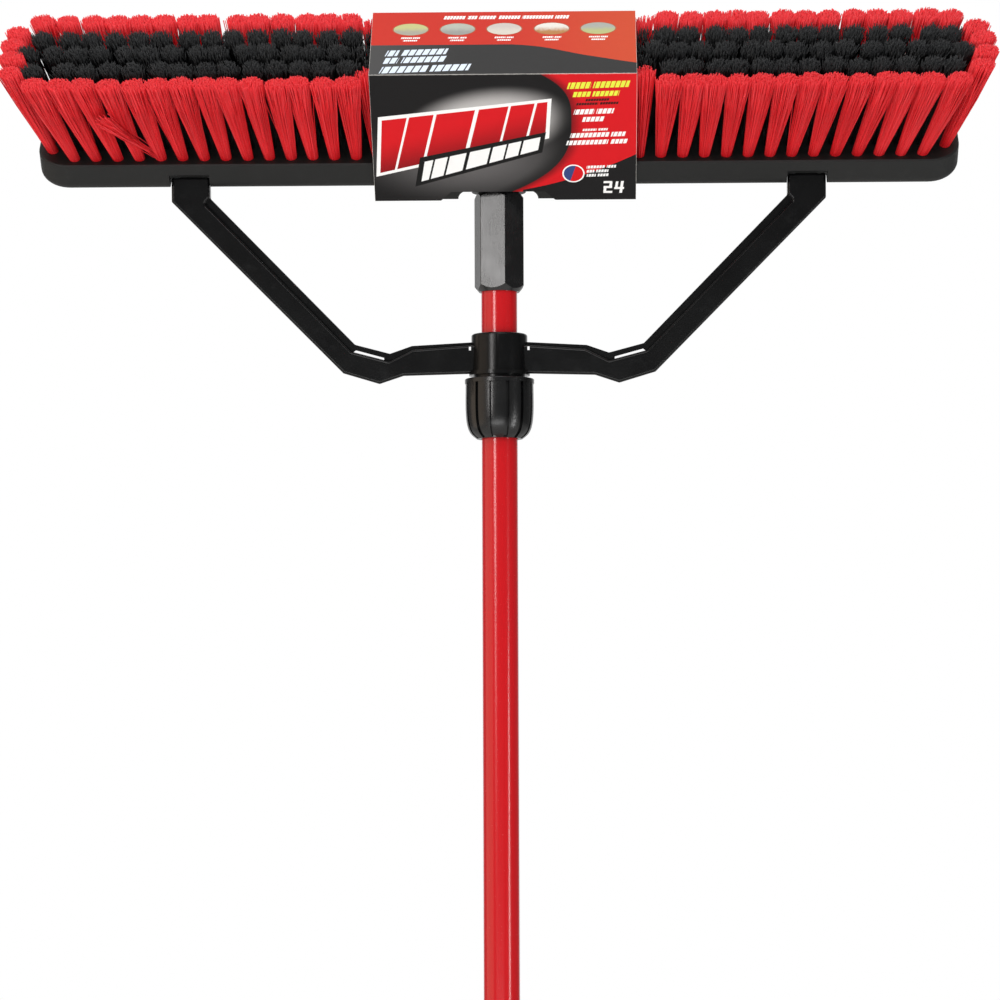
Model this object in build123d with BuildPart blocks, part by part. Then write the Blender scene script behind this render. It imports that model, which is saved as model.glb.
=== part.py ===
from build123d import *

import math
import os

# Push broom, in millimetres. +Z runs up the handle from its butt end to the head, the
# head's long side lies along X, and -Y is the front, towards which the bristles lean.
# The origin is the centre of the handle's flat butt end.

# ---- driving dimensions -----------------------------------------------------------

handle_length = 1524.0  # butt end to threaded tip
tube_radius = 11.9
tube_wall = 1.0
running_gap = 0.08  # radial gap of whatever turns or slides on another piece

tilt = 45.0  # from the handle to the block's normal, head tipped forward
block_length = 607.5
block_width = 64.0
block_thickness = 21.0
block_corner = 21.0
block_edge = 7.0  # rounding along the back face

thread_radius = 9.45
thread_reach = 3.0  # of the threaded tip past the block's back face
ferrule_top = 21.5  # below the centre of the block's back face, along the handle
ferrule_length = 67.0
hex_radius = 17.05
hex_turn = -15.0  # the front facet looks a little to the left
socket_depth = 42.0  # of the tube inside the ferrule

tuft_pitch = 14.3
row_pitch = 12.0
tuft_base = 3.5
tuft_tip = 6.7
tuft_hole = 9.5
trim_height = 92.5  # bristle ends above the block's back face
end_lean = 20.0  # sideways lean of the last tufts
row_spread = 1.4  # how far the tips stand apart, against the rows' feet
front_spread = 1.65  # the same of the rows in front of the middle
wrapped_spread = 1.19  # the same inside the paperboard sleeve

sleeve_low_x = -81.5
sleeve_high_x = 91.0
board = 0.6

collar_top = 116.7  # all of these are below the block's back face, along the handle
collar_bottom = 144.2
spigot_bottom = 165.0
nut_top = 146.5
nut_bottom = 186.3
nut_radius = 23.0

brace_drop = 130.0  # level of the brace's working plane
brace_front = -8.0  # Y of the arms' front face at that level
brace_lean = 7.0  # the arms lean to the front, as they rise
arm_depth = 9.0
flange_depth = 4.0
foot_roof = 13.4  # level of the seats that the feet bear on
foot_gap = 0.4
foot_clearance = 0.6  # beside each foot, in the block's seat
foot_middle = 203.5
foot_width = 25.4

head_z = handle_length - thread_reach
sin_tilt = math.sin(math.radians(tilt))
cos_tilt = math.cos(math.radians(tilt))

# The block's own plane: x along the block, y to its rear side, z from its back face
# to the bristles.
back_face = Plane(
    origin=(0, 0, head_z),
    x_dir=(1, 0, 0),
    z_dir=(0, -sin_tilt, cos_tilt),
)
bristle_face = back_face.offset(block_thickness)

# The same seen from the side: x from the handle to the block's front side, y from its
# back face to the bristles.
side_view = Plane(
    origin=(0, 0, head_z),
    x_dir=(0, -cos_tilt, -sin_tilt),
    z_dir=(-1, 0, 0),
)

# Square on to the block's front side: x along the block, y towards the bristles.
front_view = Plane(
    origin=(0, 0, head_z),
    x_dir=(1, 0, 0),
    z_dir=(0, -cos_tilt, -sin_tilt),
)


def level(drop):
    """Horizontal plane at a distance below the block's back face."""
    return Plane.XY.offset(head_z - drop)


# ---- tuft places ------------------------------------------------------------------


def row_places(y, count):
    half = (count - 1) / 2
    return [((i - half) * tuft_pitch, y) for i in range(count)]


red_front = row_places(-2 * row_pitch, 40)
red_rear = row_places(2 * row_pitch, 40)
black_front = row_places(-row_pitch, 40)
black_middle = row_places(0, 41)
black_rear = row_places(row_pitch, 40)
left_end = [(-294.0, -15.0), (-297.0, -5.0), (-297.0, 5.0), (-294.0, 15.0)]
right_end = [(-x, y) for x, y in left_end]
all_tufts = (
    red_front + red_rear + black_front + black_middle + black_rear + left_end + right_end
)


def tip_place(x, y):
    """Where a tuft's free end stands: ends lean outwards, rows spread apart."""
    lean = end_lean * (abs(x) / 290.0) ** 1.6
    tip_x = x + math.copysign(lean, x)
    margin = tuft_tip + 1.0
    wrapped = sleeve_low_x - margin < tip_x < sleeve_high_x + margin
    spread = front_spread if y < 0 else row_spread
    return tip_x, y * (wrapped_spread if wrapped else spread)


# ---- block ------------------------------------------------------------------------

# Round boss that carries the threaded socket, cut off inside the slab.
with BuildPart() as socket_boss:
    with BuildSketch(level(ferrule_top - 0.1)):
        Circle(18.0)
    extrude(amount=48.0)
    with BuildSketch(back_face.offset(-60.0)):
        Rectangle(80.0, 120.0)
    extrude(amount=60.0 + block_thickness / 2, mode=Mode.INTERSECT)

pad_height = 8.0
pad_length = 156.0
notch_width = 52.8
notch_floor = 1.4  # height of the pad left under the handle's passage

with BuildPart() as block:
    with BuildSketch(back_face):
        RectangleRounded(block_length, block_width, block_corner)
    extrude(amount=block_thickness)
    fillet(block.faces().sort_by(Axis(back_face.origin, back_face.z_dir))[0].edges(), block_edge)
    chamfer(block.faces().sort_by(Axis(back_face.origin, back_face.z_dir))[-1].edges(), 1.0)
    # Pad on the back, flush with the front side.
    with BuildSketch(back_face) as pad_outline:
        with Locations((0, -4.0)):
            Rectangle(pad_length, block_width - 8.0)
        fillet(pad_outline.vertices().group_by(Axis.Y)[-1], 12.0)
    extrude(amount=-pad_height)
    extrude(pad_outline.sketch, amount=block_edge)
    # Rounded notch in the pad's front wall, where the handle comes out.
    with BuildSketch(front_view) as notch:
        with Locations((0, -pad_height / 2 - notch_floor - 4.0)):
            Rectangle(notch_width, pad_height + 8.0)
        fillet(notch.vertices().group_by(Axis.Y)[-1], 6.5)
    extrude(amount=block_width / 2 + 2.0, mode=Mode.SUBTRACT)
    add(socket_boss.part)
    # Threaded socket for the handle's tip.
    with BuildSketch(level(ferrule_top + 2.0)):
        Circle(thread_radius + 0.05)
    extrude(amount=ferrule_top + 2.0 + thread_reach + 1.5, mode=Mode.SUBTRACT)
    with BuildSketch(level(ferrule_top - 0.1)):
        Circle(thread_radius + 1.2)
    extrude(amount=1.2, taper=45, mode=Mode.SUBTRACT)
    # Seats for the brace's feet in the front lower edge, each with a pocket.
    with BuildSketch(level(foot_roof + 40.0)):
        with Locations((-foot_middle, -40.0), (foot_middle, -40.0)):
            Rectangle(foot_width + 2 * foot_clearance, 70.0)
    extrude(amount=40.0, mode=Mode.SUBTRACT)
    with BuildSketch(level(foot_roof + 1.0)):
        with Locations((-foot_middle, -18.3), (foot_middle, -18.3)):
            Rectangle(14.8, 5.8)
    extrude(amount=8.0, mode=Mode.SUBTRACT)
    # One hole for each tuft.
    with BuildSketch(bristle_face):
        with Locations(*all_tufts):
            Circle(tuft_base)
    extrude(amount=-tuft_hole, mode=Mode.SUBTRACT)
block.part.label = "block"

# ---- bristles ---------------------------------------------------------------------

staple_height = 1.6
hole_floor = back_face.offset(block_thickness - tuft_hole)

with BuildPart() as tuft_staples:
    with BuildSketch(hole_floor):
        with Locations(*all_tufts):
            Rectangle(6.0, 0.5)
    extrude(amount=staple_height)
tuft_staples.part.label = "tuft_staples"


def tuft(x, y):
    """One tuft, round in its hole and fanning out to its trimmed end."""
    with BuildPart() as bundle:
        with BuildSketch(hole_floor.offset(staple_height)):
            with Locations((x, y)):
                Circle(tuft_base - 0.05)
        extrude(amount=tuft_hole - staple_height)
        with BuildSketch(bristle_face):
            with Locations((x, y)):
                Circle(tuft_base - 0.05)
        with BuildSketch(back_face.offset(trim_height)):
            with Locations(tip_place(x, y)):
                Circle(tuft_tip)
        loft()
    return bundle.part


def tuft_row(name, places):
    row = Compound(children=[tuft(x, y) for x, y in places])
    row.label = name
    return row


tuft_rows = [
    tuft_row("tufts_red_front", red_front),
    tuft_row("tufts_red_rear", red_rear),
    tuft_row("tufts_red_left", left_end),
    tuft_row("tufts_red_right", right_end),
    tuft_row("tufts_black_front", black_front),
    tuft_row("tufts_black_middle", black_middle),
    tuft_row("tufts_black_rear", black_rear),
]

# ---- paperboard sleeve ------------------------------------------------------------

sleeve_low = -8.8  # the bottom panel lies on the block's pad
sleeve_high = 94.3
sleeve_foot = 33.2
sleeve_brow = 36.3

with BuildPart() as sleeve:
    with BuildSketch(side_view.offset(-sleeve_high_x)) as band:
        with BuildLine():
            Polyline(
                (sleeve_foot, sleeve_low),
                (sleeve_brow, sleeve_high),
                (-sleeve_brow, sleeve_high),
                (-sleeve_foot, sleeve_low),
                close=True,
            )
        make_face()
        fillet(band.vertices(), 1.0)
        offset(amount=-board, mode=Mode.SUBTRACT)
    extrude(amount=sleeve_high_x - sleeve_low_x)
    # Opening for the boss and the handle, with a wider throat through the front fold.
    with BuildSketch(back_face.offset(sleeve_low - 2.0)) as opening:
        with Locations((0, -6.0)):
            RectangleRounded(48.0, 50.0, 8.0)
    extrude(amount=5.0, mode=Mode.SUBTRACT)
    with BuildSketch(front_view):
        with BuildLine():
            Polyline((-39, -9.6), (-31, -1.2), (31, -1.2), (39, -9.6), close=True)
        make_face()
    extrude(amount=block_width, mode=Mode.SUBTRACT)
sleeve.part.label = "sleeve"

# ---- handle -----------------------------------------------------------------------

cap_height = 74.0
cap_radius = 13.6
cap_plug = 34.0  # solid end of the cap, under the tube
hang_hole = 4.5
hang_height = 17.0
tube_bottom = cap_plug
tube_top = head_z - ferrule_top - ferrule_length + socket_depth

with BuildPart() as handle_tube:
    with BuildSketch(Plane.XY.offset(tube_bottom)):
        Circle(tube_radius)
        Circle(tube_radius - tube_wall, mode=Mode.SUBTRACT)
    extrude(amount=tube_top - tube_bottom)
handle_tube.part.label = "handle_tube"

with BuildPart() as end_cap:
    with BuildSketch(Plane.XZ):
        with BuildLine():
            Polyline(
                (0, 0),
                (cap_radius - 1.6, 0),
                (cap_radius - 0.6, cap_plug),
                (cap_radius - 0.6, cap_height - 9.0),
                (cap_radius, cap_height - 8.0),
                (cap_radius, cap_height),
                (0, cap_height),
                close=True,
            )
        make_face()
    revolve(axis=Axis.Z)
    fillet(end_cap.faces().sort_by(Axis.Z)[0].edges(), 4.0)
    fillet(end_cap.faces().sort_by(Axis.Z)[-1].edges(), 0.8)
    with BuildSketch(Plane.XY.offset(cap_plug)):
        Circle(tube_radius + 0.02)
    extrude(amount=cap_height, mode=Mode.SUBTRACT)
    with BuildSketch(Plane.XZ):
        with Locations((0, hang_height)):
            Circle(hang_hole)
    extrude(amount=cap_radius * 2, both=True, mode=Mode.SUBTRACT)
end_cap.part.label = "end_cap"

chamfer_width = 3.7
chamfer_height = 4.4
ferrule_bottom = ferrule_top + ferrule_length

with BuildPart() as ferrule:
    with BuildSketch(level(ferrule_bottom)):
        RegularPolygon(hex_radius, 6, rotation=hex_turn)
    extrude(amount=ferrule_length)
    # Both ends are turned off, as on a nut.
    with BuildSketch(Plane.XZ):
        with BuildLine():
            Polyline(
                (0, head_z - ferrule_bottom),
                (hex_radius - chamfer_width, head_z - ferrule_bottom),
                (hex_radius, head_z - ferrule_bottom + chamfer_height),
                (hex_radius, head_z - ferrule_top - chamfer_height),
                (hex_radius - chamfer_width, head_z - ferrule_top),
                (0, head_z - ferrule_top),
                close=True,
            )
        make_face()
    revolve(axis=Axis.Z, mode=Mode.INTERSECT)
    fillet(ferrule.edges().filter_by(Axis.Z), 0.6)
    with BuildSketch(level(ferrule_bottom)):
        Circle(tube_radius + 0.02)
    extrude(amount=socket_depth, mode=Mode.SUBTRACT)
    # Threaded tip.
    with BuildSketch(level(ferrule_top + 1.0)):
        Circle(thread_radius)
    extrude(amount=ferrule_top + 1.0 + thread_reach)
    chamfer(ferrule.faces().sort_by(Axis.Z)[-1].edges(), 1.2)
ferrule.part.label = "ferrule"

# ---- brace ------------------------------------------------------------------------

lean_sin = math.sin(math.radians(brace_lean))
lean_cos = math.cos(math.radians(brace_lean))
arm_front = Plane(
    origin=(0, brace_front, head_z - brace_drop),
    x_dir=(1, 0, 0),
    z_dir=(0, -lean_cos, -lean_sin),
)
foot_inner = foot_middle - foot_width / 2
foot_outer = foot_middle + foot_width / 2
foot_top = (brace_drop - foot_roof) / lean_cos

# Lower and outer edge of one arm, from the collar to the foot, then the two upper
# edges: the wide rear flange's, and the narrower front bar's.
lower_edge = [(10, -13.4), (63.4, -14.7), (79.4, -20.0), (103.4, -12.8), (foot_outer, 101.3)]
foot_end = [(foot_outer, foot_top), (foot_inner, foot_top)]
flange_edge = [(foot_inner, 103.3), (95.8, 6.1), (72.7, 0.0), (58.0, 5.1), (10, 7.7)]
bar_edge = [
    (foot_inner, 104.0),
    (foot_inner + 3.6, 99.9),
    (98.2, 1.5),
    (72.9, -5.2),
    (57.0, 2.6),
    (10, 5.9),
]


def on_side(points, side):
    return [(x * side, v) for x, v in points]


bend_slot = [(95.2, 2.4), (76.5, -2.7), (76.5, -4.1), (96.8, 1.2)]
rib_middles = [(118.0, 14.5), (136.0, 33.0), (154.0, 51.5), (172.0, 70.0), (190.0, 88.5)]

with BuildPart() as brace:
    for side in (-1, 1):
        with BuildSketch(arm_front.offset(-arm_depth)) as flange:
            with BuildLine():
                Polyline(*on_side(lower_edge + foot_end + flange_edge, side), close=True)
            make_face()
            fillet(flange.vertices().filter_by(lambda v: abs(v.X) > 40), 1.6)
        extrude(amount=flange_depth)
        with BuildSketch(arm_front.offset(-arm_depth + flange_depth - 0.5)) as bar:
            with BuildLine():
                Polyline(*on_side(lower_edge + foot_end + bar_edge, side), close=True)
            make_face()
            fillet(bar.vertices().filter_by(lambda v: abs(v.X) > 40), 1.6)
        extrude(amount=arm_depth - flange_depth + 0.5)
    # The bar's front edges are rounded over.
    front_faces = brace.faces().filter_by(
        lambda f: f.normal_at().dot(arm_front.z_dir) > 0.999
    ).sort_by(Axis(arm_front.origin, arm_front.z_dir))[-2:]
    fillet([e for f in front_faces for e in f.edges() if abs(e.center().X) > 11], 1.8)
    # Hollow back with cross ribs.
    for side in (-1, 1):
        with BuildSketch(arm_front.offset(-arm_depth)):
            with BuildLine():
                Polyline(*on_side(lower_edge + bar_edge, side), close=True)
            make_face()
            offset(amount=-3.0, kind=Kind.INTERSECTION, mode=Mode.REPLACE)
            with Locations((side * 14, 0)):
                Rectangle(26, 60, mode=Mode.SUBTRACT)
            with Locations(*on_side(rib_middles, side)):
                Rectangle(2.4, 40, rotation=side * 45, mode=Mode.SUBTRACT)
        extrude(amount=5.6, mode=Mode.SUBTRACT)
    # A slot through the flange, along the bar at the bend.
    for side in (-1, 1):
        with BuildSketch(arm_front):
            with BuildLine():
                Polyline(*on_side(bend_slot, side), close=True)
            make_face()
        extrude(amount=-arm_depth - 1.0, mode=Mode.SUBTRACT)
    # The feet are cut level under their seats, and each has a tongue.
    with BuildSketch(level(foot_roof + foot_gap)):
        with Locations((-foot_middle, -18.0), (foot_middle, -18.0)):
            Rectangle(40.0, 30.0)
    extrude(amount=10.0, mode=Mode.SUBTRACT)
    with BuildSketch(level(foot_roof + 6.0)):
        with Locations((-foot_middle, -18.3), (foot_middle, -18.3)):
            Rectangle(14.0, 5.0)
    extrude(amount=11.6)
    # Collar with a low flange, and the threaded spigot under it.
    with BuildSketch(level(collar_bottom)):
        Circle(18.6)
    extrude(amount=collar_bottom - collar_top)
    fillet(brace.faces().filter_by(Axis.Z).sort_by(Axis((0, 0, 0), (0, 0, 1))).filter_by(
        lambda f: abs(f.center().Z - (head_z - collar_top)) < 0.1).edges(), 1.4)
    with BuildSketch(level(collar_bottom)):
        Circle(20.2)
    extrude(amount=2.6)
    with BuildSketch(level(spigot_bottom)):
        Circle(17.0)
    extrude(amount=spigot_bottom - collar_bottom + 1.0)
    # Narrow moulding line up the collar's front.
    with BuildSketch(level(collar_bottom - 4.0)):
        with Locations((-1.5, -18.2)):
            Rectangle(0.9, 1.8)
    extrude(amount=collar_bottom - collar_top - 5.6)
    # Bore for the handle, opening into the collet's taper.
    with BuildSketch(level(spigot_bottom + 1.0)):
        Circle(tube_radius + running_gap)
    extrude(amount=60.0, mode=Mode.SUBTRACT)
    with BuildSketch(Plane.XZ):
        with BuildLine():
            Polyline(
                (0, head_z - 150.0),
                (12.7, head_z - 150.0),
                (15.1, head_z - spigot_bottom - 0.1),
                (0, head_z - spigot_bottom - 0.1),
                close=True,
            )
        make_face()
    revolve(axis=Axis.Z, mode=Mode.SUBTRACT)
    # Small slots beside the collar, under the arms' upper edges.
    with BuildSketch(arm_front):
        with Locations((-19.4, 3.2), (19.4, 3.2)):
            Rectangle(1.5, 2.4)
    extrude(amount=-arm_depth * 2, both=True, mode=Mode.SUBTRACT)
brace.part.label = "brace"

# ---- twist lock -------------------------------------------------------------------

ring_top = 151.0
ring_flange = 165.4
ring_bottom = 172.0
taper_gap = 0.1

with BuildPart() as collet_ring:
    with BuildSketch(Plane.XZ):
        with BuildLine():
            Polyline(
                (tube_radius + 0.04, head_z - ring_top),
                (12.86 - taper_gap, head_z - ring_top),
                (15.1 - taper_gap, head_z - spigot_bottom),
                (15.6, head_z - ring_flange),
                (15.6, head_z - ring_bottom),
                (tube_radius + 0.04, head_z - ring_bottom),
                close=True,
            )
        make_face()
    revolve(axis=Axis.Z)
    with BuildSketch(level(ring_bottom + 1.0)):
        with Locations((0, 14.0)):
            Rectangle(1.6, 8.0)
    extrude(amount=30.0, mode=Mode.SUBTRACT)
collet_ring.part.label = "collet_ring"

groove_count = 13
groove_width = 2.4
groove_depth = 1.9
# Radius and level of the nut's outside, from its rim down to the rounded nose.
nut_outline = [(22.5, 149.0), (22.4, 170.5), (21.2, 178.5), (18.7, 183.4), (15.2, nut_bottom)]


def nut_profile(inset):
    """Half section of the nut's body, a given depth under its outside."""
    outside = [(r - inset, head_z - drop) for r, drop in nut_outline]
    with BuildSketch(Plane.XZ) as section:
        with BuildLine():
            Polyline((12.4, head_z - nut_bottom), (12.4, head_z - nut_top - 2.5), outside[0])
            Spline(*outside, tangents=[(0, -1), (-1, -0.8)])
            Line(outside[-1], (12.4, head_z - nut_bottom))
        make_face()
    return section.sketch


with BuildPart() as lock_nut:
    add(nut_profile(0))
    revolve(axis=Axis.Z)
    # Narrow grooves between broad ribs, down to the nose.
    with BuildSketch(level(nut_bottom)):
        with PolarLocations(nut_radius, groove_count, start_angle=-103):
            Rectangle(16.0, groove_width)
    extrude(amount=nut_bottom - nut_top, mode=Mode.SUBTRACT)
    add(nut_profile(groove_depth))
    revolve(axis=Axis.Z)
    with BuildSketch(level(nut_top + 3.0)):
        Circle(nut_radius)
    extrude(amount=3.0)
    fillet(lock_nut.faces().sort_by(Axis.Z)[-1].outer_wire().edges(), 0.6)
    # Threaded mouth and the seat under the collet ring, then the bore.
    with BuildSketch(level(ring_bottom + 0.1)):
        Circle(17.06)
    extrude(amount=ring_bottom + 0.1 - nut_top, mode=Mode.SUBTRACT)
    with BuildSketch(level(nut_bottom)):
        Circle(12.4)
    extrude(amount=nut_bottom - nut_top, mode=Mode.SUBTRACT)
lock_nut.part.label = "lock_nut"

# ---- files ------------------------------------------------------------------------

os.makedirs("parts", exist_ok=True)
pieces = [
    block.part,
    tuft_staples.part,
    sleeve.part,
    handle_tube.part,
    ferrule.part,
    end_cap.part,
    brace.part,
    collet_ring.part,
    lock_nut.part,
]
for piece in pieces + tuft_rows:
    export_step(piece, f"parts/{piece.label}.step")
    print(f"{piece.label}: {len(piece.solids())} solids, {piece.volume / 1000:.1f} cm3")
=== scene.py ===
import math

import bpy
import numpy as np
from mathutils import Matrix, Vector


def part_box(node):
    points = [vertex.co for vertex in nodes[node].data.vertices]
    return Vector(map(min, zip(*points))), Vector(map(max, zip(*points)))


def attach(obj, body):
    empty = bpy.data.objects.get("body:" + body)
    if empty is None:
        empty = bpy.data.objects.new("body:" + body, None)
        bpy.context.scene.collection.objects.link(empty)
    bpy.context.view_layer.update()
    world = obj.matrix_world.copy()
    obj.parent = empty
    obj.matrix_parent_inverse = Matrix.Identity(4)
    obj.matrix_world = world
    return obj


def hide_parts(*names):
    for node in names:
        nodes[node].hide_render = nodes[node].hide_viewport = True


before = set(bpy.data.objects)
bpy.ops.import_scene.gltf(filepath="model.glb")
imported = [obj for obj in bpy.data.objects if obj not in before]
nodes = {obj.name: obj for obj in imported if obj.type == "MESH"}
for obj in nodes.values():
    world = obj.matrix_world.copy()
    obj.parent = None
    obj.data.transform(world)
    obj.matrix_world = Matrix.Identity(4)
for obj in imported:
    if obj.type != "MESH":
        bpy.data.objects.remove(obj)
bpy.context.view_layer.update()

print("frame loaded:", len(nodes), "nodes")

# The head's own frame: along the block, to its rear side, and out along the bristles,
# from the middle of the block's back face.
head = {"tilt": math.radians(45.0), "tipReach": 0.003}
headCentre = Vector((0.0, 0.0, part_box("ferrule")[1].z - head["tipReach"]))
alongAxis = Vector((1.0, 0.0, 0.0))
rearAxis = Vector((0.0, math.cos(head["tilt"]), math.sin(head["tilt"])))
outAxis = Vector((0.0, -math.sin(head["tilt"]), math.cos(head["tilt"])))


class Wire:
    # A node's output that takes part in sums; each sum adds its Math node.
    def __init__(self, paint, socket):
        self.paint, self.socket = paint, socket

    def sum(self, operation, *values):
        return self.paint.node("Math", {"operation": operation}, dict(enumerate(values)))

    def of(self, operation):
        # A function of this one value, such as its sine.
        return self.sum(operation, self)

    def __add__(self, other):
        return self.sum("ADD", self, other)

    def __radd__(self, other):
        return self.sum("ADD", other, self)

    def __sub__(self, other):
        return self.sum("SUBTRACT", self, other)

    def __rsub__(self, other):
        return self.sum("SUBTRACT", other, self)

    def __mul__(self, other):
        return self.sum("MULTIPLY", self, other)

    def __rmul__(self, other):
        return self.sum("MULTIPLY", other, self)

    def __truediv__(self, other):
        return self.sum("DIVIDE", self, other)

    def __rtruediv__(self, other):
        return self.sum("DIVIDE", other, self)

    def __pow__(self, other):
        return self.sum("POWER", self, other)

    def __rpow__(self, other):
        return self.sum("POWER", other, self)

    def __neg__(self):
        return self.sum("MULTIPLY", -1.0, self)

    def __abs__(self):
        return self.of("ABSOLUTE")

    def __lt__(self, other):
        return self.sum("LESS_THAN", self, other)

    def __gt__(self, other):
        return self.sum("GREATER_THAN", self, other)

    def __and__(self, other):
        return self.sum("MULTIPLY", self, other)

    def __or__(self, other):
        return self.sum("MAXIMUM", self, other)


class Paint:
    # The nodes of one material, or of the world.
    def __init__(self, name, isWorld=False, **sockets):
        self.owner = (bpy.data.worlds if isWorld else bpy.data.materials).new(name)
        self.owner.use_nodes = True
        self.tree = self.owner.node_tree
        self.shader = self.tree.nodes["Background" if isWorld else "Principled BSDF"]
        for socket, value in sockets.items():
            self.set(socket.replace("_", " "), value)

    def set(self, socket, value):
        self.plug(self.shader.inputs[socket], value)

    def plug(self, socket, value):
        if isinstance(value, Wire):
            self.tree.links.new(value.socket, socket)
        elif hasattr(value, "__len__") and len(value) == 3 and socket.type == "RGBA":
            socket.default_value = (*value, 1.0)
        else:
            socket.default_value = value

    def node(self, kind, settings=None, inputs=None, out=None):
        made = self.tree.nodes.new("ShaderNode" + kind)
        for key, value in (settings or {}).items():
            setattr(made, key, value)
        for key, value in (inputs or {}).items():
            self.plug(made.inputs[key], value)
        live = [socket for socket in made.outputs if socket.enabled]
        return Wire(self, made.outputs[out] if out else live[0])

    def place(self):
        return self.node("TexCoord", out="Object")

    def dot(self, vector, axis):
        return self.node("VectorMath", {"operation": "DOT_PRODUCT"}, {0: vector, 1: axis}, "Value")

    def scaled(self, vector, by):
        return self.node("VectorMath", {"operation": "MULTIPLY"}, {0: vector, 1: by})

    def noise(self, vector, scale, detail=3.0, rough=0.55):
        return self.node("TexNoise", {}, {"Vector": vector, "Scale": scale, "Detail": detail,
                                          "Roughness": rough}, "Fac")

    def smooth(self, value, low, high, start=0.0, end=1.0):
        return self.node("MapRange", {"interpolation_type": "SMOOTHSTEP"},
                         {"Value": value, "From Min": low, "From Max": high,
                          "To Min": start, "To Max": end}, "Result")

    def mix(self, mask, a, b):
        return self.node("Mix", {"data_type": "RGBA"}, {"Factor": mask, 6: a, 7: b}, 2)

    def attribute(self, name):
        return self.node("Attribute", {"attribute_name": name}, {}, "Fac")

    def bump(self, height, distance):
        self.set("Normal", self.node("Bump", {}, {"Height": height, "Distance": distance,
                                                  "Strength": 1.0}, "Normal"))


def headPlaces(paint):
    # Millimetres along the block, to its rear, and out from its back face.
    place = paint.place()
    rear = paint.dot(place, rearAxis * 1000) - headCentre.dot(rearAxis) * 1000
    out = paint.dot(place, outAxis * 1000) - headCentre.dot(outAxis) * 1000
    return paint.dot(place, alongAxis * 1000), rear, out


def dress(node, material):
    # A CAD piece keeps its shape and takes this finish.
    for place in nodes[node].material_slots:
        place.link = "OBJECT"
        place.material = material


# Block, brace, lock, end cap and collet ring are moulded plastic, cloudy and rubbed alike.
moulding = {"cloudScale": 38.0, "rubScale": 90.0, "rubRange": (0.52, 0.78), "rubShine": 0.06}
plastics = {
    "grainedBlackPlastic": {
        "pieces": ("block",), "colour": (0.0075, 0.0079, 0.0078), "pale": (0.017, 0.0175, 0.017),
        "rough": (0.42, 0.58), "grain": 2600.0, "grainDepth": 0.00012, "ior": 1.46, "shine": 0.3,
    },
    "glossBlackPlastic": {
        "pieces": ("brace",), "colour": (0.0025, 0.0026, 0.0028), "pale": (0.006, 0.0063, 0.0066),
        "rough": (0.16, 0.27), "grain": 900.0, "grainDepth": 0.00003, "ior": 1.5, "shine": 0.22,
    },
    "satinBlackPlastic": {
        "pieces": ("lock_nut", "end_cap"), "colour": (0.0025, 0.0026, 0.0028),
        "pale": (0.006, 0.0063, 0.0066),
        "rough": (0.2, 0.32), "grain": 1300.0, "grainDepth": 0.00004, "ior": 1.5, "shine": 0.45,
    },
    "greyPlastic": {
        "pieces": ("collet_ring",), "colour": (0.2, 0.2, 0.21), "pale": (0.27, 0.27, 0.28),
        "rough": (0.38, 0.5), "grain": 1500.0, "grainDepth": 0.00005, "ior": 1.5, "shine": 0.5,
    },
}


def mouldedPlastic(name, look):
    # Cloudy gloss, a fine moulded grain and rubbed patches.
    paint = Paint(name, IOR=look["ior"], Specular_IOR_Level=look["shine"])
    place = paint.place()
    cloud = paint.noise(place, moulding["cloudScale"], 4.0)
    rub = paint.smooth(paint.noise(place, moulding["rubScale"], 6.0, 0.7), *moulding["rubRange"])
    fine = paint.noise(place, look["grain"], 2.0)
    smoothest, roughest = look["rough"]
    paint.set("Base Color", paint.mix(rub * 0.5 + cloud * 0.3, look["colour"], look["pale"]))
    paint.set("Roughness", smoothest + cloud * (roughest - smoothest) + rub * moulding["rubShine"])
    paint.bump(fine + cloud * 0.6, look["grainDepth"])
    return paint.owner


for name, look in plastics.items():
    finish = mouldedPlastic(name, look)
    for piece in look["pieces"]:
        dress(piece, finish)
print("plastic pieces finished")


# The handle's coated tube, its ferrule, and the staples that hold the tufts.
coating = {
    "red": (0.50, 0.005, 0.009), "deep": (0.43, 0.0035, 0.0065), "rough": 0.14,
    "streak": (1.0, 1.0, 0.06), "cloudScale": 60.0, "speckScale": 700.0, "speckRange": (0.68, 0.74),
    "peelScale": 260.0, "peelDepth": 0.00003,
}
hexagon = {
    "colour": (0.0045, 0.0047, 0.005), "pale": (0.011, 0.0112, 0.0116), "rough": 0.19,
    "streak": (1.0, 1.0, 0.05), "drawnScale": 900.0, "drawnDepth": 0.000003, "cloudScale": 55.0,
    "wornRange": (0.45, 0.75),
}
staple = {
    "dark": (0.5, 0.5, 0.5), "pale": (0.68, 0.68, 0.68), "rough": 0.3,
    "streak": (0.05, 1.0, 1.0), "drawnScale": 3000.0,
}


def coatedTube():
    paint = Paint("redGlossCoating", IOR=1.5)
    place = paint.place()
    cloud = paint.noise(paint.scaled(place, coating["streak"]), coating["cloudScale"], 4.0)
    speck = paint.smooth(paint.noise(place, coating["speckScale"], 2.0), *coating["speckRange"])
    peel = paint.noise(place, coating["peelScale"], 2.0)
    paint.set("Base Color", paint.mix(cloud + speck * 0.25, coating["red"], coating["deep"]))
    paint.set("Roughness", coating["rough"] + cloud * 0.1 + speck * 0.15)
    paint.bump(peel + speck * 0.3, coating["peelDepth"])
    return paint.owner


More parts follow.
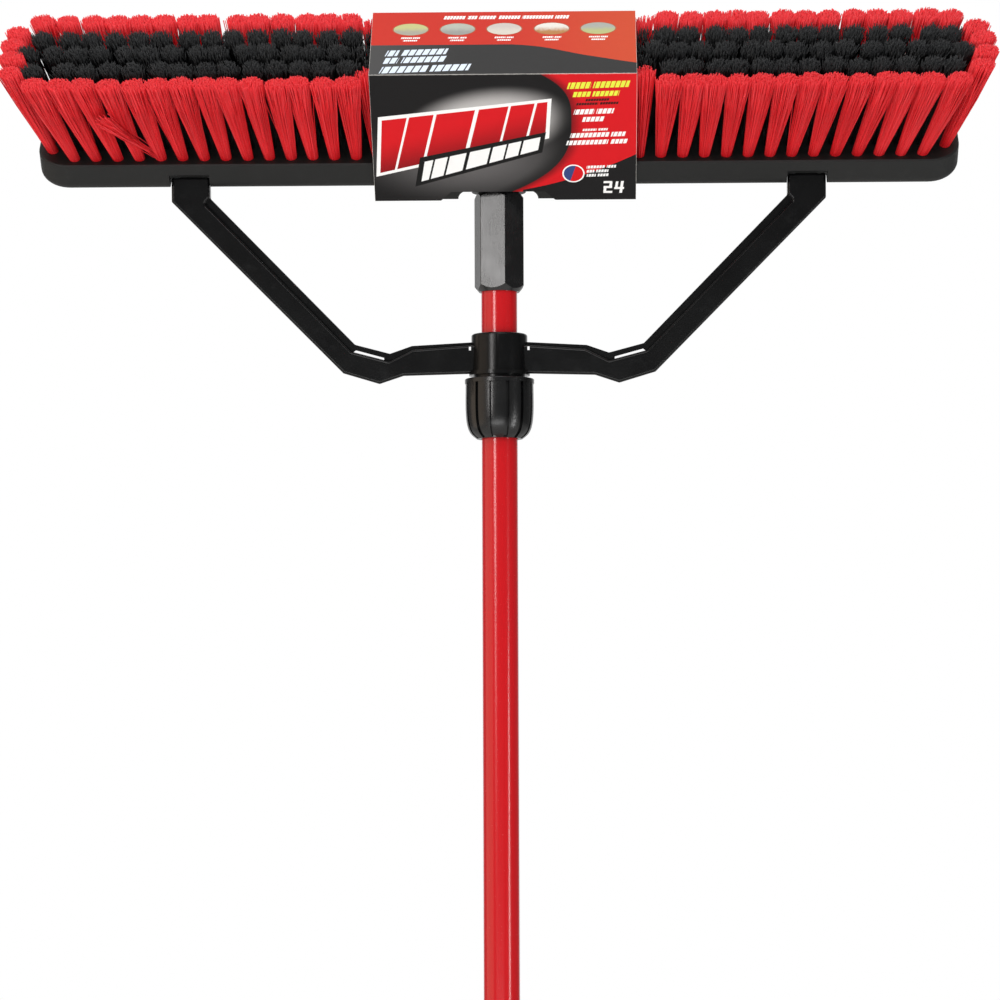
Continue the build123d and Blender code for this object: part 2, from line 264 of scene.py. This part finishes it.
def glossHex():
    paint = Paint("glossBlackFerrule", IOR=1.5, Specular_IOR_Level=0.6)
    place = paint.place()
    drawn = paint.noise(paint.scaled(place, hexagon["streak"]), hexagon["drawnScale"], 3.0)
    cloud = paint.noise(place, hexagon["cloudScale"], 5.0)
    worn = paint.smooth(cloud, *hexagon["wornRange"])
    paint.set("Base Color", paint.mix(worn, hexagon["colour"], hexagon["pale"]))
    paint.set("Roughness", hexagon["rough"] + drawn * 0.05 + cloud * 0.1)
    paint.bump(drawn, hexagon["drawnDepth"])
    return paint.owner


def drawnWire():
    paint = Paint("drawnSteel", Metallic=1.0)
    drawn = paint.noise(paint.scaled(paint.place(), staple["streak"]), staple["drawnScale"], 2.0)
    paint.set("Base Color", paint.mix(drawn, staple["dark"], staple["pale"]))
    paint.set("Roughness", staple["rough"] + drawn * 0.2)
    return paint.owner


dress("handle_tube", coatedTube())
dress("ferrule", glossHex())
dress("tuft_staples", drawnWire())
print("handle finished")


# The paperboard sleeve is one band of board, printed differently on each panel.
label = {
    "left": -81.5, "right": 91.0,  # along the block, mm
    "foot": 33.2, "brow": 36.3, "low": -8.8, "high": 94.3,  # the band's outline
    "printDepth": 0.25, "cutDepth": 0.12, "foldDepth": (0.5, 0.8), "plainFade": (0.0, 80.0),
    "fibreScale": 900.0, "fibreRange": (0.3, 0.7), "mottleScale": 160.0, "relief": 0.00006,
    "wear": 0.15, "mottle": 0.12, "cutShare": 0.2,
    "orange": (0.54, 0.062, 0.022), "warmRed": (0.52, 0.026, 0.014),
    "greyWave": (0.028, 0.0275, 0.0275), "paleWave": (0.06, 0.059, 0.059),
    "charcoal": (0.0075, 0.007, 0.0075), "smoke": (0.115, 0.11, 0.11),
    "silver": (0.62, 0.60, 0.59), "red": (0.62, 0.006, 0.011), "deepRed": (0.2, 0.003, 0.006),
    "white": (0.88, 0.88, 0.87), "lime": (0.74, 0.80, 0.06), "paper": (0.74, 0.72, 0.68),
    "blue": (0.035, 0.06, 0.2), "ink": (0.006, 0.006, 0.006), "iceWhite": (0.68, 0.76, 0.86),
}
# A line of print is given by its start, its height, the lengths of its blocks, the space
# between them and the pitch of its thin cuts.
tipArt = {
    "warmFade": (95.0, -10.0), "greyFade": (-20.0, -85.0),
    "waveTop": -2.5, "waveFalls": ((7.5, 6.0, 60.0), (17.5, 25.0, 115.0)),
    "turn": 3.0, "shear": 0.35, "grainScale": 420.0, "grainReach": 5.0, "grainRange": (14.0, 21.0),
    "swatchHeight": 15.5, "swatchSize": (23.8, 14.2), "swatchInner": 0.88,
    "swatchRim": (0.36, 0.12, 0.06),
    "swatches": (
        (-55.9, (0.50, 0.50, 0.22), (0.36, 0.34, 0.28)),
        (-25.3, (0.42, 0.44, 0.38), (0.3, 0.3, 0.28)),
        (5.1, (0.55, 0.50, 0.46), (0.62, 0.58, 0.5)),
        (36.1, (0.72, 0.70, 0.64), (0.42, 0.2, 0.07)),
        (66.4, (0.36, 0.37, 0.34), (0.44, 0.46, 0.2)),
    ),
    "swatchLines": (((-6.0, 5.6), 1.7, (7.0, 4.5), 0.7, 1.3), ((-4.6, 2.6), 1.6, (9.0,), 0.7, 1.3)),
    "heading": (((-34.5, 29.0), 3.8, (14.0, 6.0, 11.0, 14.0, 20.0, 9.0), 1.6, 2.0),),
    "caption": (
        ((-71.0, -12.0), 6.4, (8.0, 29.0), 2.5, 4.4),
        ((-72.0, -20.5), 6.4, (9.0, 28.0), 2.5, 4.4),
        ((-74.0, -31.0), 7.2, (30.0, 25.0), 2.5, 4.8),
    ),
}
frontArt = {
    "smoke": ((-20.0, 26.0), (160.0, 78.0)),  # an oval's middle and size
    "glow": ((-6.0, 55.0), (116.0, 62.0)), "glowSlant": 0.12,
    "edge": 48.7, "edgeMiddle": 58.0, "edgeBend": (0.00019, 0.00024),
    "waveStart": 16.4, "waveHeight": 0.4, "waveSlope": 0.2, "waveBend": 0.0025,
    "smokeRange": (1.05, 0.1), "glowRange": (1.0, 0.5), "glowAmount": 0.75,
    "shadowRange": (-16.0, 0.0), "shadowAmount": 0.75, "fieldRange": (9.0, -1.0),
    "blockLean": 0.22, "shadeSlant": 0.26, "shadeRange": (28.0, 62.0),
    "turn": 2.0, "shear": 0.3, "badgeShear": 0.2,
    "lime": (
        ((46.5, 84.5), 5.0, (15.0, 23.0), 1.6, 3.2),
        ((50.0, 77.5), 4.0, (11.0, 17.0), 1.6, 2.9),
    ),
    "dark": (
        ((58.0, 73.0), 1.9, (15.0,), 1.2, 1.7),
        ((52.0, 69.8), 1.9, (14.0, 12.0), 1.2, 1.7),
    ),
    "white": (
        ((50.5, 63.5), 4.0, (13.0, 11.0), 1.6, 2.9),
        ((56.0, 57.5), 3.8, (14.0,), 1.6, 2.9),
        ((56.0, 49.0), 1.8, (9.0, 6.0), 1.2, 1.7),
        ((48.0, 44.5), 3.6, (25.0, 9.0), 1.6, 2.7),
        ((45.5, 38.5), 3.6, (27.0, 11.0), 1.6, 2.7),
    ),
    "badgeLines": (
        ((58.5, 18.6), 2.2, (12.0, 6.0), 1.2, 1.9),
        ((58.5, 15.2), 2.2, (5.0, 8.0), 1.2, 1.9),
        ((58.5, 11.8), 2.2, (6.0, 7.0), 1.2, 1.9),
    ),
    "badge": ((49.8, 13.5), (14.6, 14.6)), "badgeInner": 0.76, "badgeSplit": 45.5,
    "badgeSlant": 0.3,
    "numeralLean": 0.12,
    "numerals": (  # a 2 and a 4 in square strokes, each by its middle and size
        ((72.4, 6.2), (5.6, 1.7)), ((74.3, 4.1), (1.8, 4.4)), ((72.4, 2.1), (5.6, 1.7)),
        ((70.5, 0.1), (1.8, 4.4)), ((72.4, -2.0), (5.8, 1.7)),
        ((78.2, 4.0), (1.7, 5.4)), ((79.8, 1.2), (6.4, 1.7)), ((81.4, 2.1), (1.8, 9.8)),
    ),
}
# Two headline bands of plain blocks, with no letters. Backing and face are each given by
# both ends along the block and the heights of both edges there.
upperBand = {
    "slant": 0.06, "start": 93.0, "pitch": 21.0, "sway": 0.16, "swayLength": 11.0, "gap": 0.09,
    "backing": ((-80.5, 31.5), (12.0, 42.5), (60.5, 74.5)),
    "face": ((-78.0, 29.0), (15.0, 44.5), (57.8, 71.8)),
}
lowerBand = {
    "slant": 0.16, "start": 60.0, "pitch": 11.5, "sway": 0.18, "swayLength": 7.0, "gap": 0.14,
    "backing": ((-55.0, 24.5), (3.6, 31.0), (27.5, 47.5)),
    "face": ((-51.5, 21.5), (7.8, 33.0), (24.0, 43.5)),
}


def anyOf(masks):
    whole, *others = masks
    for mask in others:
        whole = whole | mask
    return whole


def bar(u, v, middle, size, turn, shear):
    # Mask of a bar, turned and then sheared like italics.
    c, s = math.cos(math.radians(turn)), math.sin(math.radians(turn))
    du, dv = u - middle[0], v - middle[1]
    across, up = du * c + dv * s, dv * c - du * s
    return (abs(across - up * shear) < size[0] / 2) & (abs(up) < size[1] / 2)


def oval(u, v, middle, size):
    # Below 1 inside the oval.
    return ((u - middle[0]) / (size[0] / 2)) ** 2 + ((v - middle[1]) / (size[1] / 2)) ** 2


def words(u, v, lines, turn=0.0, shear=0.25):
    # Lines of plain blocks, as long as words would be and cut up by thin gaps.
    c, s = math.cos(math.radians(turn)), math.sin(math.radians(turn))
    masks = []
    for start, height, lengths, gap, cut in lines:
        at, blocks = 0.0, []
        for length in lengths:
            middle = (start[0] + (at + length / 2) * c, start[1] + (at + length / 2) * s)
            blocks.append(bar(u, v, middle, (length, height), turn, shear))
            at += length + gap
        beat = ((u - v * shear) / cut).of("FRACT")
        masks.append(anyOf(blocks) & (beat > label["cutShare"]))
    return anyOf(masks)


def band(u, v, ends, lower, upper):
    # Mask between two straight slanting lines, each given by its height at both ends.
    across = (u - ends[0]) / (ends[1] - ends[0])
    return ((u > ends[0]) & (u < ends[1]) & (v > lower[0] + across * (lower[1] - lower[0]))
            & (v < upper[0] + across * (upper[1] - upper[0])))


def tipSidePrint(paint, x, rear):
    # A warm field with five round swatches over a grey wave.
    top = paint.mix(paint.smooth(x, *tipArt["warmFade"]), label["orange"], label["warmRed"])
    wave = tipArt["waveTop"]
    for fall, start, end in tipArt["waveFalls"]:
        wave = wave - fall * paint.smooth(x, start, end)
    grey = paint.mix(paint.smooth(x, *tipArt["greyFade"]), label["greyWave"], label["paleWave"])
    top = paint.mix(rear < wave, top, grey)
    grain = paint.noise(paint.place(), tipArt["grainScale"]) * tipArt["grainReach"]
    grainy = paint.smooth(rear + grain, *tipArt["grainRange"])
    for middle, light, dark in tipArt["swatches"]:
        reach = oval(x, rear, (middle, tipArt["swatchHeight"]), tipArt["swatchSize"])
        top = paint.mix(reach < 1.0, top, tipArt["swatchRim"])
        top = paint.mix(reach < tipArt["swatchInner"], top, paint.mix(grainy, dark, light))
        small = [((middle + start[0], start[1]), *rest) for start, *rest in tipArt["swatchLines"]]
        top = paint.mix(words(x, rear, small), top, label["white"])
    top = paint.mix(words(x, rear, tipArt["heading"]), top, label["white"])
    caption = words(x, rear, tipArt["caption"], tipArt["turn"], tipArt["shear"])
    return paint.mix(caption, top, label["iceWhite"])


def frontField(paint, x, out):
    # Charcoal with a smoky glow, and a red field beyond a curved edge.
    smoke = paint.smooth(oval(x, out, *frontArt["smoke"]) ** 0.5, *frontArt["smokeRange"])
    panel = paint.mix(smoke, label["charcoal"], label["smoke"])
    glow = oval(x, out - x * frontArt["glowSlant"], *frontArt["glow"]) ** 0.5
    glow = paint.smooth(glow, *frontArt["glowRange"]) * frontArt["glowAmount"]
    panel = paint.mix(glow, panel, label["silver"])
    below, above = frontArt["edgeBend"]
    cube = abs(out - frontArt["edgeMiddle"]) ** 3
    edge = frontArt["edge"] - cube * (below + above * (out > frontArt["edgeMiddle"]))
    shadow = paint.smooth(x - edge, *frontArt["shadowRange"]) * frontArt["shadowAmount"]
    panel = paint.mix(shadow, panel, label["ink"])
    field = paint.smooth(x - edge, *frontArt["fieldRange"])
    field = paint.mix(field, label["red"], label["deepRed"])
    panel = paint.mix(x > edge, panel, field)
    along = x - frontArt["waveStart"]
    wave = frontArt["waveHeight"] + frontArt["waveSlope"] * along + frontArt["waveBend"] * along ** 2
    return paint.mix((out < wave) & (x > frontArt["waveStart"]), panel, label["charcoal"])


def headlineBand(paint, panel, x, out, look, backColour, faceColour):
    # The face is cut into plain blocks of uneven width.
    across, lean = x - out * look["slant"], x - out * frontArt["blockLean"]
    sway = look["sway"] * (lean / look["swayLength"]).of("SINE")
    block = ((lean + look["start"]) / look["pitch"] + sway).of("FRACT") > look["gap"]
    panel = paint.mix(band(across, out, *look["backing"]), panel, backColour)
    return paint.mix(band(across, out, *look["face"]) & block, panel, faceColour)


def frontPrint(paint, x, out):
    panel = frontField(paint, x, out)
    turn, shear = frontArt["turn"], frontArt["shear"]
    shade = paint.smooth(out - x * frontArt["shadeSlant"], *frontArt["shadeRange"])
    shade = paint.mix(shade, label["deepRed"], label["red"])
    panel = headlineBand(paint, panel, x, out, upperBand, label["white"], shade)
    panel = headlineBand(paint, panel, x, out, lowerBand, label["ink"], label["white"])
    panel = paint.mix(words(x, out, frontArt["lime"], turn, shear), panel, label["lime"])
    panel = paint.mix(words(x, out, frontArt["dark"], turn, shear), panel, label["ink"])
    white = [words(x, out, frontArt["white"], turn, shear),
             words(x, out, frontArt["badgeLines"], turn, frontArt["badgeShear"])]
    white += [bar(x, out, middle, size, 0.0, frontArt["numeralLean"])
              for middle, size in frontArt["numerals"]]
    panel = paint.mix(anyOf(white), panel, label["white"])
    badge = oval(x, out, *frontArt["badge"])
    left = x - out * frontArt["badgeSlant"] < frontArt["badgeSplit"]
    half = paint.mix(left, label["red"], label["blue"])
    panel = paint.mix(badge < 1.0, panel, label["white"])
    return paint.mix(badge < frontArt["badgeInner"], panel, half)


def printedBoard():
    paint = Paint("printedPaperboard", IOR=1.5, Specular_IOR_Level=0.15)
    x, rear, out = headPlaces(paint)
    front = -rear
    slope = (label["brow"] - label["foot"]) / (label["high"] - label["low"])
    wall = (out - label["low"]) * slope + label["foot"] - label["printDepth"]
    onFront, onBack = front > wall, rear > wall
    onTop, onBottom = out > label["high"] - label["printDepth"], out < label["low"] + label["printDepth"]
    printed = onFront | onTop | onBack | onBottom
    plain = paint.mix(paint.smooth(out, *label["plainFade"]), label["charcoal"], label["deepRed"])
    colour = paint.mix(printed, label["paper"], plain)
    colour = paint.mix(onFront, colour, frontPrint(paint, x, out))
    colour = paint.mix(onTop, colour, tipSidePrint(paint, x, rear))
    # Bare board shows at the cut ends and rubs through along the folds.
    cut = (x < label["left"] + label["cutDepth"]) | (x > label["right"] - label["cutDepth"])
    fibre = paint.noise(paint.place(), label["fibreScale"], 4.0)
    mottle = paint.noise(paint.place(), label["mottleScale"], 4.0)
    rubbed = paint.smooth(fibre, *label["fibreRange"])
    inward, along = label["foldDepth"]
    fold = (out > label["high"] - along) | (out < label["low"] + along)
    worn = ((front > wall - inward) | (rear > wall - inward)) & fold & rubbed
    colour = paint.mix(cut, colour, label["paper"])
    colour = paint.mix(worn * label["wear"], colour, label["paper"])
    darker = paint.mix(0.5, colour, label["ink"])
    paint.set("Base Color", paint.mix(mottle * label["mottle"], colour, darker))
    paint.set("Roughness", 0.3 + mottle * 0.12 + (1 - printed) * 0.4 + worn * 0.25)
    paint.bump(mottle * 1.2 + fibre * 0.25, label["relief"])
    return paint.owner


dress("sleeve", printedBoard())
print("sleeve finished")


# Every tuft is made again as its own strands. Places here are in the head's own frame.
tufting = {
    "pitch": 0.0143, "rowPitch": 0.012, "footRadius": 0.00338, "tipSize": (0.0081, 0.0067),
    "holeFloor": 0.0131, "face": 0.021, "trim": 0.0925, "turn": 2.39996,  # the golden angle
    "endLean": 0.020, "endReach": 0.290, "endCurve": 1.6, "endLimit": 0.3248, "endScatter": 0.0005,
    "frontSpread": 1.65, "rearSpread": 1.4, "wrappedSpread": 1.19, "flare": 0.93,
    "sleeveLow": label["left"] / 1000, "sleeveHigh": label["right"] / 1000, "sleeveMargin": 0.0077,
    "wallGap": 1.0, "wallSlope": 0.03, "wallReach": 0.0005,
}
redLook = {
    "strands": 320, "wrappedStrands": 70, "width": 0.00034, "tipWidth": 1.1, "size": 1.0,
    "kink": 0.00018, "fuzz": 0.00048, "trimSpread": 0.0022, "dome": 0.0012, "wander": 0.0009,
    "stray": 0.010, "strayReach": 0.003, "levels": (0.0, 0.6, 1.0),
}
blackLook = {
    "strands": 230, "wrappedStrands": 50, "width": 0.00036, "tipWidth": 0.9, "size": 0.84,
    "kink": 0.0008, "fuzz": 0.0010, "trimSpread": 0.0048, "dome": 0.0030, "wander": 0.0012,
    "stray": 0.02, "strayReach": 0.003, "levels": (0.0, 0.62, 0.86, 1.0),
}
# A few strands of one front tuft lie across the two beside it.
astray = {
    "tuft": 4, "strands": 45, "first": 5, "reach": (-0.019, -0.006), "scatter": 0.0024,
    "height": 0.66, "heightRange": (0.9, 1.08),
}
endTufts = [(-0.294, -0.015), (-0.297, -0.005), (-0.297, 0.005), (-0.294, 0.015)]


def row(y, count):
    half = (count - 1) / 2
    return [((i - half) * tufting["pitch"], y * tufting["rowPitch"]) for i in range(count)]


def tipPlace(x, y):
    # Where a tuft's end stands, and whether the sleeve holds it in.
    lean = tufting["endLean"] * (abs(x) / tufting["endReach"]) ** tufting["endCurve"]
    tipX, margin = x + math.copysign(lean, x), tufting["sleeveMargin"]
    wrapped = tufting["sleeveLow"] - margin < tipX < tufting["sleeveHigh"] + margin
    spread = tufting["frontSpread"] if y < 0 else tufting["rearSpread"]
    return tipX, y * (tufting["wrappedSpread"] if wrapped else spread), wrapped


def tuftLines(x, y, look, crossing, rng):
    # Centre lines of one tuft's strands: strand, level, place.
    rise = np.array((0.0,) + look["levels"])
    tipX, tipY, wrapped = tipPlace(x, y)
    count = look["wrappedStrands" if wrapped else "strands"]
    # Strands fill the disc evenly, in a spiral.
    step = np.arange(count)
    angle = step * tufting["turn"] + rng.uniform(0, 2 * math.pi)
    reach = np.sqrt((step + rng.uniform(0.2, 0.8, count)) / count)
    disc = np.stack((np.cos(angle), np.sin(angle)), -1) * reach[:, None]
    foot = np.array((x, y)) + disc * tufting["footRadius"]
    tip = np.array((tipX, tipY)) + rng.normal(0, look["wander"], 2) * (1.0, 0.6)
    tip = tip + disc * tufting["tipSize"] * look["size"] * rng.uniform(0.95, 1.05)
    loose = rng.uniform(0, 1, count) < look["stray"]
    tip[:, 0] += loose * rng.normal(0, look["strayReach"], count)
    trim = tufting["trim"] - rng.uniform(0, 1, count) ** 2 * look["trimSpread"] - tufting["face"]
    trim = trim - reach ** 4 * look["dome"]
    if crossing:
        some = (step + crossing["first"]) % (count // crossing["strands"]) == 0
        ends = np.array((tipX, tipY)) + crossing["reach"] + rng.normal(0, crossing["scatter"], (count, 2))
        short = crossing["height"] * rng.uniform(*crossing["heightRange"], count)
        tip = np.where(some[:, None], ends, tip)
        trim = np.where(some, trim * short, trim)
    line = np.zeros((count, len(rise), 3))
    line[..., :2] = foot[:, None] + (tip - foot)[:, None] * rise[:, None] ** tufting["flare"]
    line[..., 2] = tufting["face"] + trim[:, None] * rise
    line[:, 0, 2] = tufting["holeFloor"]
    kink = rng.normal(0, 1, (count, len(rise), 2)) * look["kink"]
    kink[:, -1] += rng.normal(0, 1, (count, 2)) * look["fuzz"]
    kink[:, :2] = 0
    line[..., :2] += kink
    limit = tufting["endLimit"] + rng.normal(0, tufting["endScatter"], (count, 1))
    line[..., 0] = np.clip(line[..., 0], -limit, limit)
    return line


def keepInside(lines):
    # Strands within the sleeve stay clear of its walls.
    x, y, z = lines[..., 0], lines[..., 1], lines[..., 2]
    rising = (z * 1000 - label["low"]) * tufting["wallSlope"]
    wall = (label["foot"] - tufting["wallGap"] + rising) / 1000
    reach = tufting["wallReach"]
    near = (x > tufting["sleeveLow"] - reach) & (x < tufting["sleeveHigh"] + reach)
    lines[..., 1] = np.where(near, np.clip(y, -wall, wall), y)
    return lines


def makeMesh(name, points, faces, smooth):
    mesh = bpy.data.meshes.new(name)
    mesh.from_pydata(points, [], faces)
    mesh.polygons.foreach_set("use_smooth", smooth)
    mesh.update()
    return mesh


def strandFaces(strands, levels):
    # Three sides between each two levels, and both ends closed.
    first = (np.arange(strands) * levels * 3)[:, None, None]
    level = (np.arange(levels - 1) * 3)[None, :, None]
    side, following = np.arange(3)[None, None], (np.arange(3) + 1) % 3
    quads = np.stack([first + level + side, first + level + following,
                      first + level + 3 + following, first + level + 3 + side], -1).reshape(-1, 4)
    starts = np.arange(strands) * levels * 3
    ends = starts + (levels - 1) * 3
    caps = np.concatenate([starts[:, None] + (2, 1, 0), ends[:, None] + (0, 1, 2)])
    return quads, caps


def bristles(name, feet, look, material, slot, seed, crossings):
    rng = np.random.default_rng(seed)
    lines = np.concatenate([tuftLines(x, y, look, crossings.get(number), rng)
                            for number, (x, y) in enumerate(feet)])
    lines = keepInside(lines)
    rise = np.array((0.0,) + look["levels"])
    strands, levels, _ = lines.shape
    width = look["width"] * (1 + (look["tipWidth"] - 1) * rise ** 2)
    turn = rng.uniform(0, 2 * math.pi, (strands, 1)) + np.arange(3) * 2 * math.pi / 3
    ring = np.stack((np.cos(turn), np.sin(turn), np.zeros_like(turn)), -1)
    points = lines[:, :, None, :] + ring[:, None] * width[None, :, None, None]
    toFrame = np.array((alongAxis, rearAxis, outAxis))
    points = points.reshape(-1, 3) @ toFrame + np.array(headCentre)
    quads, caps = strandFaces(strands, levels)
    smooth = np.concatenate([np.ones(len(quads), bool), np.zeros(len(caps), bool)])
    mesh = makeMesh(name, points, quads.tolist() + caps.tolist(), smooth)
    tone = np.repeat(rng.uniform(0, 1, strands), levels * 3)
    tall = np.tile(np.repeat(rise, 3), strands)
    for key, values in (("strandTone", tone), ("strandRise", tall)):
        mesh.attributes.new(key, "FLOAT", "POINT").data.foreach_set("value", values.astype(np.float32))
    mesh.materials.append(material)
    piece = bpy.data.objects.new(name, mesh)
    bpy.context.scene.collection.objects.link(piece)
    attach(piece, "head")
    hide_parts(name.replace("bristles", "tufts"))
    print(name, len(quads) * 2 + len(caps), "triangles")


# Filament colours: the pale ones give both the randomly paler strands and the painted highlight at the
# ends; the red deep one is painted shade at the feet.
filament = {
    "red": (0.74, 0.013, 0.02), "redPaleAndTipHighlight": (0.88, 0.055, 0.068), "redFootShade": (0.5, 0.006, 0.01),
    "black": (0.0045, 0.0046, 0.0052), "blackPaleAndTipHighlight": (0.022, 0.024, 0.026),
    "redRough": 0.3, "blackRough": 0.34, "streakScale": 900.0, "streakDepth": 0.00004,
}


def strandFinish(name, colour, pale, deep, rough):
    # Some strands are paler at random; the paler ends are a painted highlight and the deeper feet are
    # painted shade.
    paint = Paint(name, IOR=1.5, Specular_IOR_Level=0.35)
    tone, tall = paint.attribute("strandTone"), paint.attribute("strandRise")
    streak = paint.noise(paint.place(), filament["streakScale"], 2.0)
    # Painted highlight: the strand ends turn paler, on top of the randomly paler strands.
    light = paint.smooth(tone + streak * 0.3, 0.75, 1.15) * 0.5 + paint.smooth(tall, 0.9, 1.0) * 0.3
    # Painted shade: the strand feet darken towards the deeper colour.
    shade = paint.mix(paint.smooth(tall, 0.22, 0.0) * 0.6, colour, deep)
    paint.set("Base Color", paint.mix(light, shade, pale))
    paint.set("Roughness", rough + tone * 0.12)
    paint.bump(streak, filament["streakDepth"])
    return paint.owner


redFinish = strandFinish("redFilament", filament["red"], filament["redPaleAndTipHighlight"],
                         filament["redFootShade"], filament["redRough"])
blackFinish = strandFinish("blackFilament", filament["black"], filament["blackPaleAndTipHighlight"],
                           filament["black"], filament["blackRough"])

kinds = {
    "red": (redLook, redFinish, "red_bristle"), "black": (blackLook, blackFinish, "black_bristle"),
}
rows = (
    ("red", "front", row(-2, 40)), ("red", "rear", row(2, 40)), ("red", "left", endTufts),
    ("red", "right", [(-x, y) for x, y in endTufts]), ("black", "front", row(-1, 40)),
    ("black", "middle", row(0, 41)), ("black", "rear", row(1, 40)),
)
firstSeed = 11
for seed, (kind, where, feet) in enumerate(rows, firstSeed):
    crossings = {astray["tuft"]: astray} if (kind, where) == ("red", "front") else {}
    bristles(f"bristles_{kind}_{where}", feet, *kinds[kind], seed, crossings)
print("bristles made")


# The room: a round floor, a pale surrounding, soft lights and the camera.
room = {
    "floorRadius": 6.0, "floorRings": 12, "floorParts": 64,
    "floorColour": (0.74, 0.74, 0.73), "floorPale": (0.78, 0.78, 0.77),
    "fill": 0.16, "backdrop": 1.0, "dome": 0.9,
}
workLevel = headCentre.z - 0.2
workPoint, handlePoint = Vector((0, 0, workLevel)), Vector((0, 0, workLevel - 0.2))
# Azimuth 0 stands in front of the broom, and positive ones to its right.
lamps = {
    "keySoftbox": {"azimuth": -30, "distance": 2.7, "height": workLevel + 0.02, "size": (0.26, 0.4),
                   "power": 1.7, "aim": workPoint, "colour": (1.0, 0.93, 0.88)},
    "lockSoftbox": {"azimuth": -31, "distance": 2.6, "height": workLevel + 0.42, "size": (0.5, 0.58),
                    "power": 12.5, "aim": workPoint, "colour": (1.0, 0.98, 0.97)},
    "sideSoftbox": {"azimuth": -80, "distance": 2.2, "height": workLevel + 0.2, "size": (2.6, 2.2),
                    "power": 18, "aim": workPoint, "colour": (1.0, 0.8, 0.62)},
    "rightStrip": {"azimuth": 54, "distance": 2.4, "height": 0.6, "size": (0.12, 1.3),
                   "power": 14, "aim": handlePoint},
    "topSoftbox": {"azimuth": -15, "distance": 1.5, "height": headCentre.z + 1.9,
                   "size": (2.2, 1.8), "power": 24, "aim": headCentre},
    "highSoftbox": {"azimuth": 12, "distance": 2.9, "height": headCentre.z + 1.5,
                    "size": (2.0, 1.0), "power": 25, "aim": headCentre},
    "lowSoftbox": {"azimuth": -8, "distance": 2.5, "height": 0.42, "size": (2.2, 0.36),
                   "power": 16, "aim": headCentre},
}
lens = {
    "azimuth": 1.2, "elevation": -3.99, "distance": 2.450, "drop": 0.2268, "roll": 0.22,
    "focal": 133.2, "sensor": 36.0, "near": 0.05, "far": 100.0,
}


def softbox(name, azimuth, distance, height, size, power, aim, colour=(1.0, 1.0, 1.0)):
    data = bpy.data.lights.new(name, "AREA")
    data.shape, data.size, data.size_y = "RECTANGLE", size[0], size[1]
    data.energy, data.color = power, colour
    lamp = bpy.data.objects.new(name, data)
    bpy.context.scene.collection.objects.link(lamp)
    a = math.radians(azimuth)
    lamp.location = (math.sin(a) * distance, -math.cos(a) * distance, height)
    lamp.rotation_euler = (aim - lamp.location).to_track_quat("-Z", "Y").to_euler()


def makeFloor():
    rings, parts = room["floorRings"], room["floorParts"]
    points = [(0.0, 0.0, 0.0)]
    for k in range(1, rings + 1):
        r = room["floorRadius"] * k / rings
        points += [(r * math.cos(2 * math.pi * i / parts), r * math.sin(2 * math.pi * i / parts), 0.0)
                   for i in range(parts)]
    faces = [(0, 1 + i, 1 + (i + 1) % parts) for i in range(parts)]
    for k in range(rings - 1):
        a, b = 1 + k * parts, 1 + (k + 1) * parts
        faces += [(a + i, b + i, b + (i + 1) % parts, a + (i + 1) % parts) for i in range(parts)]
    mesh = makeMesh("studio_floor", points, faces, [True] * len(faces))
    paint = Paint("paleFloor")
    cloud = paint.noise(paint.place(), 1.2, 5.0)
    paint.set("Base Color", paint.mix(cloud, room["floorColour"], room["floorPale"]))
    paint.set("Roughness", 0.55 + cloud * 0.15)
    mesh.materials.append(paint.owner)
    floor = bpy.data.objects.new("studio_floor", mesh)
    bpy.context.scene.collection.objects.link(floor)


def makeWorld():
    # White to look at; what it lights is brighter from behind and from above.
    air = Paint("paleStudio", isWorld=True, Color=(1.0, 1.0, 1.0))
    way = air.node("TexCoord", out="Generated")
    behind = air.smooth(air.dot(way, (0.0, 1.0, 0.0)), 0.7, 0.95)
    above = air.smooth(air.dot(way, (0.0, 0.0, 1.0)), 0.42, 0.75)
    light = room["fill"] + behind * (room["backdrop"] - room["fill"])
    light = light + above * (room["dome"] - room["fill"])
    seen = air.node("LightPath", out="Is Camera Ray")
    air.set("Strength", light * (1 - seen) + seen)
    bpy.context.scene.world = air.owner


def makeCamera():
    camera = bpy.data.objects.new("camera", bpy.data.cameras.new("camera"))
    bpy.context.scene.collection.objects.link(camera)
    azimuth, elevation = math.radians(lens["azimuth"]), math.radians(lens["elevation"])
    back = Vector((math.sin(azimuth) * math.cos(elevation),
                   -math.cos(azimuth) * math.cos(elevation), math.sin(elevation)))
    camera.location = headCentre - Vector((0, 0, lens["drop"])) + back * lens["distance"]
    camera.rotation_mode = "QUATERNION"
    roll = Matrix.Rotation(math.radians(-lens["roll"]), 3, "Z").to_quaternion()
    camera.rotation_quaternion = (-back).to_track_quat("-Z", "Y") @ roll
    camera.data.lens, camera.data.sensor_width = lens["focal"], lens["sensor"]
    camera.data.clip_start, camera.data.clip_end = lens["near"], lens["far"]
    bpy.context.scene.camera = camera


makeFloor()
makeWorld()
for name, settings in lamps.items():
    softbox(name, **settings)
makeCamera()
bpy.context.scene.view_settings.view_transform = "Standard"
print("room and camera set")
